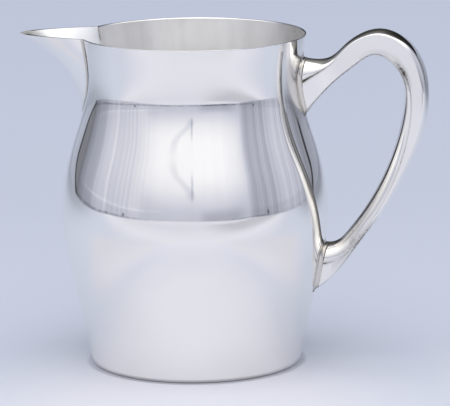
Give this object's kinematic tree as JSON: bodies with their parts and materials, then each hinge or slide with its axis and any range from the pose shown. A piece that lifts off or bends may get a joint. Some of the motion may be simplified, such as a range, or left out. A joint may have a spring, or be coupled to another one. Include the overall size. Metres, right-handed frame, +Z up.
{
  "type": "creamer",
  "caption": "Small polished silver cream jug with a baluster body, a V-shaped beak spout and a hollow ear-shaped handle.",
  "frame": {"origin": "middle of the overall length and width, on the table", "axes": "+Z up, +X from the spout to the handle, Y across the jug, whose mirror plane is y = 0"},
  "size_m": [0.1332, 0.087, 0.1099],
  "materials": {
    "polished_silver": "mirror polished, with fine hairlines",
    "inside_silver": "satin polished, duller than the outside",
    "solder": "filed and polished flush"
  },
  "bodies": {
    "root": {"body_wall": "polished_silver", "base_disc": "inside_silver", "base_solder": "solder", "spout": "polished_silver", "spout_solder": "solder", "handle_shell_left": "polished_silver", "handle_shell_right": "polished_silver", "handle_solder_upper": "solder", "handle_solder_lower": "solder"}
  },
  "joints": []
}
